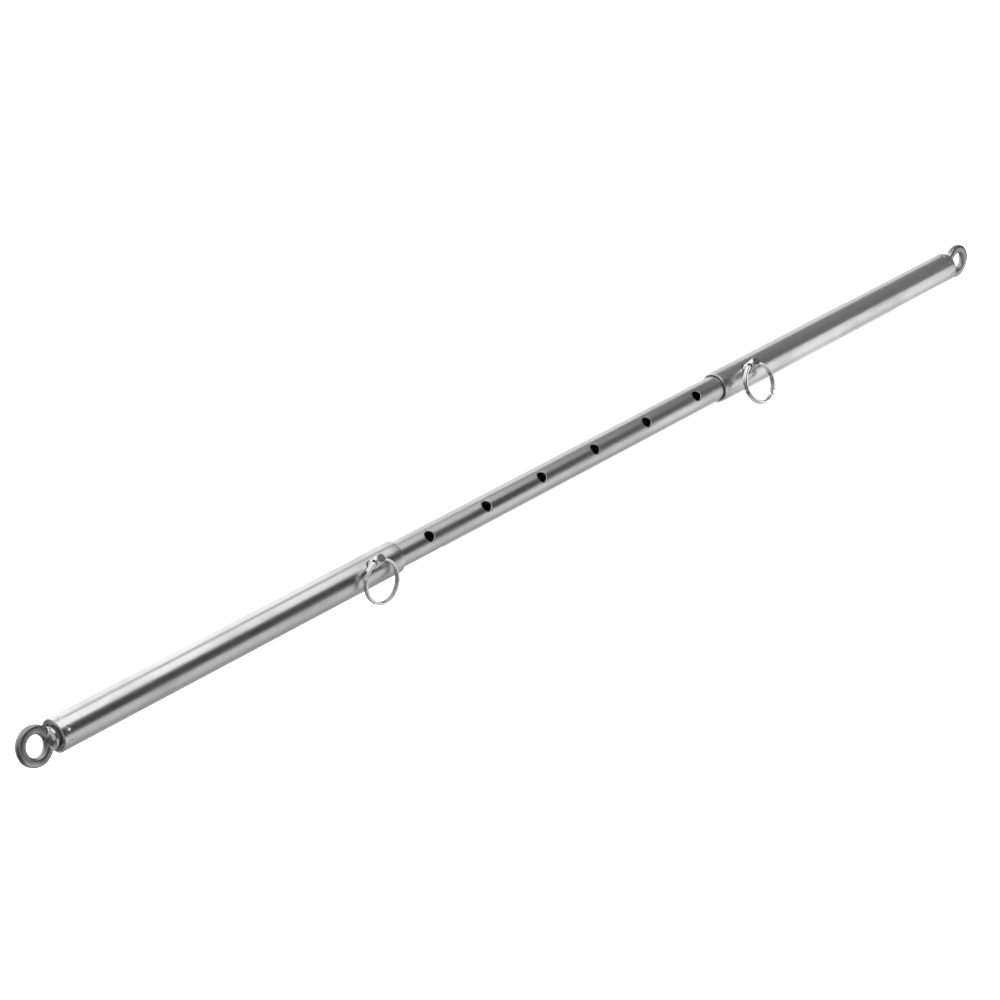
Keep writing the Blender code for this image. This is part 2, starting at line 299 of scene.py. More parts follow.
zincLook = {
    "tone": 0.66, "blue": (0.54, 0.56, 0.60, 1), "frostTone": 0.4, "frostShare": 0.3,
    "frost": (1600, 3.0, 0.6), "blotches": (240, 3.0, 0.6), "blotchSpan": (0.4, 0.64),
    "smooth": 0.24, "frostRough": 0.16, "blotchRough": 0.08, "strength": 0.18, "depth": 0.00004,
}


def zincPlate(name):
    # thin passivated zinc, blotched and faintly frosted
    look = zincLook
    finish = Finish(name)
    frost = finish.noise(*look["frost"])
    blotch = finish.step(finish.noise(*look["blotches"]), *look["blotchSpan"])
    tone = finish.blend(blotch, grey(look["tone"]), look["blue"])
    tone = finish.blend(frost * look["frostShare"], tone, grey(look["frostTone"]))
    roughness = look["smooth"] + look["frostRough"] * frost + look["blotchRough"] * blotch
    return finish.close(tone, roughness, 1.0, finish.bump(frost, look["strength"], look["depth"]))


turnedLook = {
    "bright": 0.50, "dull": 0.34, "dullWarmth": 0.01, "smooth": 0.28, "rough": 0.44,
    "faceMarks": 12000, "sideMarks": 9000,
    "stain": (260, 4.0, 0.6), "specks": (1500, 2.0, 0.5), "stainSpan": (0.4, 0.68), "speckSpan": (0.64, 0.74),
    "speckTone": 0.16, "speckShare": 0.4, "markRough": 0.05, "stainHeight": 0.5, "strength": 0.15,
    "depth": 0.00004,
}


def turnedSteel(name):
    # bare turned steel: tool marks round the axis, a thin oily stain
    look = turnedLook
    finish = Finish(name)
    radius = finish.node("Math", {"operation": "SQRT"}, {0: finish.y * finish.y + finish.z * finish.z})
    path = radius * look["faceMarks"] + finish.x * look["sideMarks"]
    marks = finish.node("Math", {"operation": "SINE"}, {0: path})
    stain = finish.step(finish.noise(*look["stain"]), *look["stainSpan"])
    specks = finish.step(finish.noise(*look["specks"]), *look["speckSpan"])
    tone = finish.blend(stain, grey(look["bright"]), grey(look["dull"], look["dullWarmth"]))
    tone = finish.blend(specks * look["speckShare"], tone, grey(look["speckTone"]))
    roughness = between(look["smooth"], look["rough"], stain) + look["markRough"] * marks
    height = marks + look["stainHeight"] * stain
    return finish.close(tone, roughness, 1.0, finish.bump(height, look["strength"], look["depth"]))


def aboutX(along, angle, radius):
    # angle 0 is on the pins' side
    out = pinOut * math.cos(angle) + pinSide * math.sin(angle)
    return Vector((along, 0, 0)) + out * radius


def plainX(along, angle, radius):
    return Vector((along, math.cos(angle) * radius, math.sin(angle) * radius))


def plainZ(along, angle, radius):
    return Vector((math.cos(angle) * radius, math.sin(angle) * radius, along))


def aboutPin(origin, hinge):
    def place(along, angle, radius):
        out = hinge * math.cos(angle) + pinOut.cross(hinge) * math.sin(angle)
        return origin + pinOut * along + out * radius
    return place


drilling = {"loops": (0.72, 0.46, 0.24, 0.1, 0.0), "edgeSteps": 4}  # loops: share left to go to the hole


class Skin:
    # points and faces of one surface, laid out about an axis
    def __init__(self, place=aboutX):
        self.place = place
        self.points = []
        self.faces = []

    def dot(self, along, angle, radius):
        self.points.append(self.place(along, angle, radius))
        return len(self.points) - 1

    def bridge(self, first, second):
        count = len(first)
        for k in range(count):
            after = (k + 1) % count
            self.faces.append((first[k], first[after], second[after], second[k]))

    def fan(self, ring, middle):
        for k in range(len(ring)):
            self.faces.append((ring[k], ring[(k + 1) % len(ring)], middle))

    def cap(self, ring, along):
        self.fan(ring, self.dot(along, 0, 0))

    def turn(self, profile, around, first=None, last=None, closed=False):
        # rings along a profile, joined to rings that are there already
        rings = [] if first is None else [first]
        for along, radius in profile:
            rings.append([self.dot(along, 2 * pi * k / around, radius) for k in range(around)])
        if last is not None:
            rings.append(last)
        if closed:
            rings.append(rings[0])
        for here, there in zip(rings, rings[1:]):
            self.bridge(here, there)
        return rings[0], rings[-1]

    def sleeve(self, stations, radius, around, drills=(), size=0, shape=None):
        # a round wall; shape sinks it, and a square is left open at each drill
        def openAt(i, j, margin):
            for column, row, _ in drills:
                across = (j - row + size // 2) % around
                if column + margin <= i < column + size and margin <= across < size:
                    return True
            return False

        grid = {}
        for i, along in enumerate(stations):
            for j in range(around):
                if not openAt(i, j, 1):
                    angle = 2 * pi * j / around
                    sink = shape(along, angle) if shape else 0
                    grid[i, j] = self.dot(along, angle, radius - sink)
        for i in range(len(stations) - 1):
            for j in range(around):
                if not openAt(i, j, 0):
                    after = (j + 1) % around
                    self.faces.append((grid[i, j], grid[i, after], grid[i + 1, after], grid[i + 1, j]))
        squares = []
        for column, row, sense in drills:
            walk = [(k, 0) for k in range(size)] + [(size, k) for k in range(size)]
            walk += [(size - k, size) for k in range(size)] + [(0, size - k) for k in range(size)]
            square = []
            for across, up in walk:
                turned = up - size // 2
                index = grid[column + across, (row + sense * turned) % around]
                square.append((index, stations[column + across], 2 * pi * turned / around))
            squares.append(square)
        last = len(stations) - 1
        ends = [[grid[i, j] for j in range(around)] for i in (0, last)]
        return ends[0], ends[1], squares

    def mouth(self, square, radius, along, angle, sense, hole, soft, inward):
        # loops from a square to a drilled hole, then over its rounded edge
        aims = [math.atan2(turn * radius, x - along) for _, x, turn in square]
        loop = [index for index, _, _ in square]
        for share in drilling["loops"]:
            ring = []
            for aim, (_, x, turn) in zip(aims, square):
                rimX = (hole + soft) * math.cos(aim)
                rimTurn = math.asin((hole + soft) * math.sin(aim) / radius)
                ring.append(self.dot(
                    along + rimX + (x - along - rimX) * share,
                    angle + sense * (rimTurn + (turn - rimTurn) * share),
                    radius,
                ))
            self.bridge(loop, ring)
            loop = ring
        for part in range(1, drilling["edgeSteps"] + 1):
            bend = part * pi / (2 * drilling["edgeSteps"])
            ring = []
            for aim in aims:
                out = hole + soft * (1 - math.sin(bend))
                across = out * math.sin(aim)
                up = math.sqrt(radius**2 - across**2) - inward * soft * (1 - math.cos(bend))
                turned = angle + sense * math.atan2(across, up)
                ring.append(self.dot(along + out * math.cos(aim), turned, math.hypot(across, up)))
            self.bridge(loop, ring)
            loop = ring
        return loop


def softened(profile, soft, closed=False, steps=4, mostOfSide=0.48):
    # rounds the corners of a profile of (along, radius, soften) points
    points = []
    count = len(profile)
    for k, corner in enumerate(profile):
        if not corner[2] or (not closed and k in (0, count - 1)):
            points.append(corner[:2])
            continue
        here = Vector(corner[:2])
        before = Vector(profile[k - 1][:2]) - here
        after = Vector(profile[(k + 1) % count][:2]) - here
        size = min(soft * corner[2], before.length * mostOfSide, after.length * mostOfSide)
        start = here + before.normalized() * size
        finish = here + after.normalized() * size
        for step in range(steps + 1):
            t = step / steps
            point = start * (1 - t) ** 2 + here * 2 * t * (1 - t) + finish * t**2
            points.append((point.x, point.y))
    return points


def spaced(low, high, step):
    count = max(1, round((high - low) / step))
    return [low + (high - low) * k / count for k in range(count)]


def reach(node, direction):
    # how far a node spreads along a direction
    spread = [direction.dot(vertex.co) / mm for vertex in frame["nodes"][node].data.vertices]
    return min(spread), max(spread)


def radiusOf(node):
    return reach(node, upward)[1]


def newObject(name, points, faces, unit=mm):
    mesh = bpy.data.meshes.new(name)
    mesh.from_pydata([Vector(point) * unit for point in points], [], faces)
    made = bpy.data.objects.new(name, mesh)
    bpy.context.scene.collection.objects.link(made)
    return made


def selectOnly(piece):
    for other in bpy.context.view_layer.objects:
        other.select_set(False)
    piece.select_set(True)
    bpy.context.view_layer.objects.active = piece


def faceOutwards(piece):
    selectOnly(piece)
    bpy.ops.object.mode_set(mode="EDIT")
    bpy.ops.mesh.select_all(action="SELECT")
    bpy.ops.mesh.normals_make_consistent(inside=False)
    bpy.ops.object.mode_set(mode="OBJECT")


def addPiece(name, points, faces, body, nodes, material):
    piece = newObject(name, points, faces)
    faceOutwards(piece)
    piece.data.shade_smooth()
    piece.data.materials.append(material)
    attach(piece, body)
    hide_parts(*nodes)
    return piece


innerTube = {
    "wall": 1.4, "rim": 0.5, "around": 96, "square": 24, "hole": 4.2, "holeEdge": 0.8, "boreEdge": 0.3,
    "holes": 8, "pitch": 63.5, "step": 6.0,
}
tubeRim = {"outerSteps": 5, "boreSteps": 4, "boreShare": 0.6}  # boreShare: the bore's corner over the rim's


def ringStations(spec, low, high, drills, cell, zone):
    # where a tube's rings stand, close together at a drill and in the zone, and each drill's first ring
    half = cell * spec["square"] / 2
    fine = [(x - half, x + half, 2 * half / spec["square"], True) for x in drills]
    if zone:
        fine.append((*zone, cell, False))
    stations, columns, at = [], [], low + spec["rim"]
    for start, end, step, drilled in sorted(fine):
        stations += spaced(at, start, spec["step"])
        if drilled:
            columns.append(len(stations))
        stations += spaced(start, end, step)
        at = end
    last = high - spec["rim"]
    return stations + spaced(at, last, spec["step"]) + [last], columns


def makeTube(name, spec, low, high, outer, drills, zone, shape, body, node, material):
    skin = Skin()
    around, rim = spec["around"], spec["rim"]
    bore = outer - spec["wall"]
    stations, columns = ringStations(spec, low, high, drills, 2 * pi * outer / around, zone)
    openings = [(column, 0, 1) for column in columns]
    outside = skin.sleeve(stations, outer, around, openings, spec["square"], shape)
    inside = skin.sleeve(stations, bore, around, openings, spec["square"])
    for x, outerSquare, boreSquare in zip(drills, outside[2], inside[2]):
        top = skin.mouth(outerSquare, outer, x, 0, 1, spec["hole"], spec["holeEdge"], 1)
        bottom = skin.mouth(boreSquare, bore, x, 0, 1, spec["hole"], spec["boreEdge"], -1)
        skin.bridge(top, bottom)
    for end, (face, sign) in enumerate(((low, 1), (high, -1))):
        corner = []
        for part in range(1, tubeRim["outerSteps"] + 1):
            bend = part * pi / (2 * tubeRim["outerSteps"])
            corner.append((face + sign * rim * (1 - math.sin(bend)), outer - rim * (1 - math.cos(bend))))
        inset = rim * tubeRim["boreShare"]
        for part in range(tubeRim["boreSteps"] + 1):
            bend = part * pi / (2 * tubeRim["boreSteps"])
            corner.append((face + sign * inset * (1 - math.cos(bend)), bore + inset * (1 - math.sin(bend))))
        skin.turn(corner, around, outside[end], inside[end])
    return addPiece(name, skin.points, skin.faces, body, [node], material)


innerLow, innerHigh = reach("inner_tube", alongBar)
firstHole = -(innerTube["holes"] - 1) / 2 * innerTube["pitch"]
innerDrills = [firstHole + k * innerTube["pitch"] for k in range(innerTube["holes"])]
beyond = 0.9  # metres: the inner tube has no mouth
innerSteel = satinSteel("innerTubeSteel", beyond, innerHigh * mm, 1.0)
makeTube("innerTube", innerTube, innerLow, innerHigh, radiusOf("inner_tube"), innerDrills, None, None,
         "inner_tube", "inner_tube", innerSteel)
print("inner tube made")

outerTube = {
    "wall": 1.45, "rim": 0.55, "around": 192, "square": 32, "hole": 4.2, "holeEdge": 0.6, "boreEdge": 0.3,
    "step": 8.0, "scoring": 0.25,
    "dimples": 8, "dimpleTurn": -7.0, "dimple": 1.9, "dimpleDepth": 0.8, "dimpleFromEnd": 5.6,
    "dimpleReach": 1.6, "closeReach": 1.7, "lipHeight": 0.05, "lipAt": 1.15, "lipWidth": 0.25,
}


def outerTubeFor(side, material):
    node = side + "_outer_tube"
    low, high = reach(node, alongBar)
    outer = radiusOf(node)
    sign = sides[side]
    end = high if sign > 0 else low
    dimpleX = end - sign * outerTube["dimpleFromEnd"]
    size = outerTube["dimple"]

    def pressed(along, angle):
        if abs(along - dimpleX) > size * outerTube["dimpleReach"]:
            return 0
        pitch = 2 * pi / outerTube["dimples"]
        off = (angle - math.radians(outerTube["dimpleTurn"]) + pitch / 2) % pitch - pitch / 2
        away = math.hypot(along - dimpleX, off * outer) / size
        if away < 1:
            return outerTube["dimpleDepth"] * (1 - away**2) ** 1.5
        lip = (away - outerTube["lipAt"]) / outerTube["lipWidth"]
        return -outerTube["lipHeight"] * math.exp(-(lip**2))

    zone = (dimpleX - size * outerTube["closeReach"], dimpleX + size * outerTube["closeReach"])
    pinX = joints[side + "_ring_swing"]["pos_m"][0] / mm
    makeTube(side + "OuterTube", outerTube, low, high, outer, [pinX], zone, pressed,
             side + "_tube", node, material)


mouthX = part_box("right_outer_tube")[0].x
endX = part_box("right_outer_tube")[1].x
outerSteel = satinSteel("outerTubeSteel", mouthX, endX, outerTube["scoring"])
for side in sides:
    outerTubeFor(side, outerSteel)
print("outer tubes made")

shankBore = 4.35
turnedAround = 128
endPlug = {
    "chamfer": 0.4, "groove": 1.0, "grooveHalf": 2.2, "counterbore": 9.5, "counterboreDepth": 2.5,
    "soft": 0.3,
}


def turnedPiece(name, profile, soft, body, node, material):
    skin = Skin()
    skin.turn(softened(profile, soft, True), turnedAround, closed=True)
    return addPiece(name, skin.points, skin.faces, body, [node], material)


def plugFor(side, material):
    node = side + "_end_plug"
    low, high = reach(node, alongBar)
    radius = radiusOf(node)
    sign = sides[side]
    face, back = (high, low) if sign > 0 else (low, high)
    chamfer, half, wide = endPlug["chamfer"], endPlug["grooveHalf"], endPlug["counterbore"]
    tubeEnd = reach(side + "_outer_tube", alongBar * sign)[1]
    grooveX = sign * (tubeEnd - outerTube["dimpleFromEnd"])
    grooveFloor = radius - endPlug["groove"]
    floorX = face - sign * endPlug["counterboreDepth"]
    profile = [
        (floorX, shankBore, 1), (floorX, wide, 1), (face, wide, 1),
        (face, radius - chamfer, 1), (face - sign * chamfer, radius, 1),
        (grooveX + sign * half, radius, 1), (grooveX + sign * half, grooveFloor, 1),
        (grooveX - sign * half, grooveFloor, 1), (grooveX - sign * half, radius, 1),
        (back + sign * chamfer, radius, 1), (back, radius - chamfer, 1), (back, shankBore, 1),
    ]
    turnedPiece(side + "EndPlug", profile, endPlug["soft"], side + "_tube", node, material)


washer = {"soft": 0.18, "punchedSide": 1.6}  # punchedSide: how much rounder one rim is


def washerFor(side, kind, body, material):
    node = f"{side}_{kind}_washer"
    low, high = reach(node, alongBar)
    radius = radiusOf(node)
    profile = [
        (low, shankBore, 1), (low, radius, washer["punchedSide"]), (high, radius, 1), (high, shankBore, 1),
    ]
    name = side + kind.capitalize() + "Washer"
    turnedPiece(name, profile, washer["soft"], body, node, material)


lockNut = {
    "flats": 13.0, "room": 0.1, "mouth": 0.4, "chamfer": 0.9, "chamferSlope": 1.7, "worn": 0.12,
    "around": 144, "endLength": 1.2, "endStep": 0.15, "step": 1.0,
}


def nutFor(side, material):
    node = side + "_lock_nut"
    low, high = reach(node, alongBar)
    flat = lockNut["flats"] / 2
    corner = flat / math.cos(pi / 6)
    bore = shankBore + lockNut["room"]

    def hexagon(along, angle):
        off = (angle + pi / 6) % (pi / 3) - pi / 6
        depth = min(along - low, high - along)
        cone = corner - lockNut["chamfer"] + depth * lockNut["chamferSlope"]
        return corner - min(flat / math.cos(off), cone, corner - lockNut["worn"])

    skin = Skin()
    fineLow, fineHigh = low + lockNut["endLength"], high - lockNut["endLength"]
    stations = spaced(low, fineLow, lockNut["endStep"]) + spaced(fineLow, fineHigh, lockNut["step"])
    stations += spaced(fineHigh, high, lockNut["endStep"]) + [high]
    first, last, _ = skin.sleeve(stations, corner, lockNut["around"], shape=hexagon)
    mouth = lockNut["mouth"]
    profile = [(high, bore + mouth), (high - mouth, bore), (low + mouth, bore), (low, bore + mouth)]
    skin.turn(profile, lockNut["around"], last, first)
    addPiece(side + "LockNut", skin.points, skin.faces, side + "_eye", [node], material)


plugSteel = turnedSteel("plugSteel")
zinc = zincPlate("zincPlate")
for side in sides:
    plugFor(side, plugSteel)
    washerFor(side, "shoulder", side + "_tube", zinc)
    washerFor(side, "nut", side + "_eye", zinc)
    nutFor(side, zinc)
print("plugs, washers and nuts made")

# depths are from the eye's centre towards the tube; waist and roughStem are (depth, radius)
eyeShape = {
    "outer": 15.0, "hole": 8.0, "half": 3.4, "corner": 2.6, "turn": {"left": 19.0, "right": 4.0},
    "waist": [(9.0, 2.8), (10.0, 4.9), (11.4, 6.7), (12.8, 7.8), (14.2, 8.0)],
    "neckFrom": 9.4, "neckTo": 15.2, "neckSlope": 0.72, "blend": 1.3,
    "collar": 8.25, "collarFrom": 13.0, "collarEdge": 0.7, "collarBlend": 0.7, "washerGap": 0.35,
    "roughStem": [(9.9, 3.0), (11.8, 6.8), (13.1, 8.1)], "roughCollar": 8.2, "roughShort": 0.1,
    "roughRing": [(-3.1, 8.7), (-3.1, 14.4), (3.1, 14.4), (3.1, 8.7)], "stemAround": 48, "ringAround": 72,
    "voxel": 0.42, "pulls": 14, "pull": 0.8, "nudge": 0.01, "leastSlope": 0.2,
}
shankShape = {
    "radius": 4.0, "root": 1.5, "around": 40, "plainStep": 1.0, "pitch": 1.25, "perTurn": 8, "depth": 0.68,
    "threadFrom": 3.0, "fadeIn": 1.2, "fadeOut": 0.8, "nose": 0.9, "noseEdge": 0.4, "noseRadii": (3.0, 2.4),
}


def smoothMin(a, b, size):
    h = np.clip(0.5 + 0.5 * (b - a) / size, 0, 1)
    return b + (a - b) * h - size * h * (1 - h)


def roundedBox(across, up, halfAcross, halfUp, corner):
    x = np.abs(across) - (halfAcross - corner)
    y = np.abs(up) - (halfUp - corner)
    return np.hypot(np.maximum(x, 0), np.maximum(y, 0)) + np.minimum(np.maximum(x, y), 0) - corner


def eyeField(points, shoulder):
    # distance to the forging; points are (depth, in the ring's plane, across it)
    eye = eyeShape
    depth, flat, across = points.T
    middle = (eye["outer"] + eye["hole"]) / 2
    width = (eye["outer"] - eye["hole"]) / 2
    ring = roundedBox(np.hypot(depth, flat) - middle, across, width, eye["half"], eye["corner"])
    out = np.hypot(flat, across)
    waist = np.interp(depth, *zip(*eye["waist"]))
    neckEnds = np.maximum(eye["neckFrom"] - depth, depth - eye["neckTo"])
    neck = np.maximum((out - waist) * eye["neckSlope"], neckEnds)
    half = (shoulder - eye["collarFrom"]) / 2
    collar = roundedBox(depth - shoulder + half, out, half, eye["collar"], eye["collarEdge"])
    return smoothMin(smoothMin(ring, neck, eye["blend"]), collar, eye["collarBlend"])


def roughEye(shoulder):
    # a disc ring and a stem, remeshed into one skin
    stem = Skin(plainX)
    start, end = eyeShape["roughStem"][0][0], shoulder - eyeShape["roughShort"]
    first, last = stem.turn(eyeShape["roughStem"] + [(end, eyeShape["roughCollar"])], eyeShape["stemAround"])
    stem.cap(first, start)
    stem.cap(last, end)
    ring = Skin(plainZ)
    ring.turn(eyeShape["roughRing"], eyeShape["ringAround"], closed=True)
    count = len(stem.points)
    faces = stem.faces + [tuple(index + count for index in face) for face in ring.faces]
    rough = newObject("eyeRough", stem.points + ring.points, faces, 1)
    faceOutwards(rough)
    remesh = rough.modifiers.new("skin", "REMESH")
    remesh.mode = "VOXEL"
    remesh.voxel_size = eyeShape["voxel"]
    bpy.ops.object.modifier_apply(modifier="skin")
    return rough


def drawOnto(rough, shoulder):
    # pulls the rough skin onto the true shape
    place = np.array([vertex.co for vertex in rough.data.vertices], float)
    nudge = eyeShape["nudge"]
    for _ in range(eyeShape["pulls"]):
        value = eyeField(place, shoulder)
        slope = np.zeros_like(place)
        for axis in range(3):
            move = np.zeros(3)
            move[axis] = nudge
            rise = eyeField(place + move, shoulder) - eyeField(place - move, shoulder)
            slope[:, axis] = rise / (2 * nudge)
        size = np.maximum((slope**2).sum(1), eyeShape["leastSlope"])
        place -= (value / size)[:, None] * slope * eyeShape["pull"]
    for vertex, point in zip(rough.data.vertices, place):
        vertex.co = point


def threadedShank(shoulder, tip):
    shank = shankShape
    skin = Skin(plainX)
    threadStart, threadEnd = shoulder + shank["threadFrom"], tip - shank["nose"]

    def thread(along, angle):
        phase = ((along - threadStart) / shank["pitch"] - angle / (2 * pi)) % 1
        fadeIn = max(0, (along - threadStart) / shank["fadeIn"])
        fadeOut = max(0, (threadEnd - along) / shank["fadeOut"] + 0.5)
        return shank["depth"] * min(1, fadeIn, fadeOut) * (1 - abs(2 * phase - 1))

    root = shoulder - shank["root"]
    stations = spaced(root, threadStart, shank["plainStep"])
    stations += spaced(threadStart, threadEnd, shank["pitch"] / shank["perTurn"]) + [threadEnd]
    first, last, _ = skin.sleeve(stations, shank["radius"], shank["around"], shape=thread)
    nose = list(zip((tip - shank["noseEdge"], tip), shank["noseRadii"]))
    _, end = skin.turn(nose, shank["around"], last)
    skin.cap(end, tip)
    skin.cap(first, root)
    rod = newObject("shank", skin.points, skin.faces, 1)
    faceOutwards(rod)
    return rod


def eyeFor(side, material):
    sign = sides[side]
    centre = joints[side + "_eye_swivel"]["pos_m"][0] / mm
    washerFace = reach(side + "_shoulder_washer", alongBar * sign)[1]
    shoulder = abs(centre) - washerFace - eyeShape["washerGap"]
    tip = abs(centre) - reach(side + "_eye", alongBar * sign)[0]
    rough = roughEye(shoulder)
    drawOnto(rough, shoulder)
    rod = threadedShank(shoulder, tip)
    selectOnly(rough)
    weld = rough.modifiers.new("shank", "BOOLEAN")
    weld.operation = "UNION"
    weld.solver = "EXACT"
    weld.object = rod
    bpy.ops.object.modifier_apply(modifier="shank")

    # from the eye's own axes to its place in the bar
    turn = math.radians(eyeShape["turn"][side])
    facing = Vector((0, -math.cos(turn), math.sin(turn)))
    inward = alongBar * -sign
    axes = np.array([inward, inward.cross(facing), facing], float)
    place = np.array([vertex.co for vertex in rough.data.vertices], float) @ axes
    place[:, 0] += centre
    faces = [tuple(face.vertices) for face in rough.data.polygons]
    bpy.data.objects.remove(rod)
    bpy.data.objects.remove(rough)
    addPiece(side + "Eye", place, faces, side + "_eye", [side + "_eye"], material)


forging = forgedSteel("forgedSteel")
for side in sides:
    eyeFor(side, forging)
print("eyes made")

lockPin = {
    "around": 96, "square": 32, "squareShare": 0.92, "cross": 2.6, "crossEdge": 0.25, "chamfer": 0.6,
    "chamferReach": 1.25, "soft": 0.2, "lowStep": 0.8, "highStep": 0.5, "faceMiddle": 0.6,
}


def ringHinge(side):
    # the cross-hole's middle, and its direction
    joint = joints[side + "_ring_swing"]
    return Vector(joint["pos_m"]) / mm, -Vector(joint["axis"]).normalized()


def pinFor(side, material):
    hole, hinge = ringHinge(side)
    node = side + "_lock_pin"
    low, high = reach(node, pinOut)
    radius = reach(node, alongBar)[1] - hole.x
    skin = Skin(aboutPin(Vector((hole.x, 0, 0)), hinge))
    at = hole.dot(pinOut)
    chamfer, around, size = lockPin["chamfer"], lockPin["around"], lockPin["square"]
    reached = chamfer * lockPin["chamferReach"]
    start, end = low + reached, high - reached
    half = 2 * pi * radius / around * size / 2 * lockPin["squareShare"]
    stations = spaced(start, at - half, lockPin["lowStep"])
    column = len(stations)
    stations += spaced(at - half, at + half, 2 * half / size)
    stations += spaced(at + half, end, lockPin["highStep"]) + [end]
    openings = [(column, 0, 1), (column, around // 2, -1)]
    first, last, squares = skin.sleeve(stations, radius, around, openings, size)
    cross, edge = lockPin["cross"], lockPin["crossEdge"]
    near = skin.mouth(squares[0], radius, at, 0, 1, cross, edge, 1)
    far = skin.mouth(squares[1], radius, at, pi, -1, cross, edge, 1)
    skin.bridge(near, far)
    for face, sign, ring in ((low, 1, first), (high, -1, last)):
        profile = [
            (face + sign * reached, radius, 0), (face + sign * chamfer, radius, 1),
            (face, radius - chamfer, 1), (face, lockPin["faceMiddle"], 0),
        ]
        _, inner = skin.turn(softened(profile, lockPin["soft"])[1:], around, ring)
        skin.cap(inner, face)
    addPiece(side + "LockPin", skin.points, skin.faces, side + "_pin", [node], material)


splitRing = {
    "outside": 17.75, "radial": 2.4, "axial": 1.75, "corner": 0.6, "pitch": 1.9,
    "crossover": 6.0, "gap": 2.5, "crossoverAt": {"left": -128.0, "right": 38.0},
    "steps": 300, "cornerSteps": 4, "swing": {"left": 12.0, "right": 28.0},
    "nib": 0.1225, "nibSizes": (0.72, 0.9),
}


def wireSection():
    # a flat wire's outline with round corners, as (across the ring, outwards)
    ring = splitRing
    points = []
    for quarter, (x, y) in enumerate(((1, 1), (-1, 1), (-1, -1), (1, -1))):
        for step in range(ring["cornerSteps"] + 1):
            bend = pi / 2 * (quarter + step / ring["cornerSteps"])
            points.append((
                x * (ring["axial"] / 2 - ring["corner"]) + ring["corner"] * math.cos(bend),
                y * (ring["radial"] / 2 - ring["corner"]) + ring["corner"] * math.sin(bend),
            ))
    return points


def ringFor(side, material):
    # two turns of flat wire, which change over at one place
    ring = splitRing
    hole, hinge = ringHinge(side)
    down = -upward
    down = (down - hinge * down.dot(hinge)).normalized()
    hang = Matrix.Rotation(-math.radians(ring["swing"][side]), 3, hinge) @ down
    across = hinge.cross(hang)
    middle = ring["outside"] - ring["radial"] / 2
    centre = hole + hang * middle
    section = wireSection()
    crossover = math.radians(ring["crossover"])
    gap = math.radians(ring["crossover"] + ring["gap"])
    first, last = gap, 4 * pi - gap
    angles = [first + (last - first) * k / ring["steps"] for k in range(ring["steps"] + 1)]
    nib = ring["nib"] / middle
    tipSize, nextSize = ring["nibSizes"]
    course = [(first, tipSize), (first + nib, nextSize)] + [(angle, 1) for angle in angles[1:-1]]
    course += [(angles[-1] - nib, nextSize), (angles[-1], tipSize)]
    skin = Skin()
    loops = []
    for angle, size in course:
        part = min(max(((angle - 2 * pi) / crossover + 1) / 2, 0), 1)
        shift = ring["pitch"] * (part * part * (3 - 2 * part) - 0.5)
        turned = angle + math.radians(ring["crossoverAt"][side])
        out = hang * math.cos(turned) + hinge * math.sin(turned)
        heart = centre + across * shift + out * middle
        start = len(skin.points)
        skin.points += [heart + across * (a * size) + out * (b * size) for a, b in section]
        loops.append(list(range(start, len(skin.points))))
    for here, there in zip(loops, loops[1:]):
        skin.bridge(here, there)
    for loop in (loops[0], loops[-1]):
        skin.points.append(sum((skin.points[k] for k in loop), Vector()) / len(loop))
        skin.fan(loop, len(skin.points) - 1)
    addPiece(side + "SplitRing", skin.points, skin.faces, side + "_ring", [side + "_split_ring"],
             material)


pinChrome = brightChrome("pinChrome")
for side in sides:
    pinFor(side, pinChrome)
    ringFor(side, pinChrome)
print("pins and rings made")

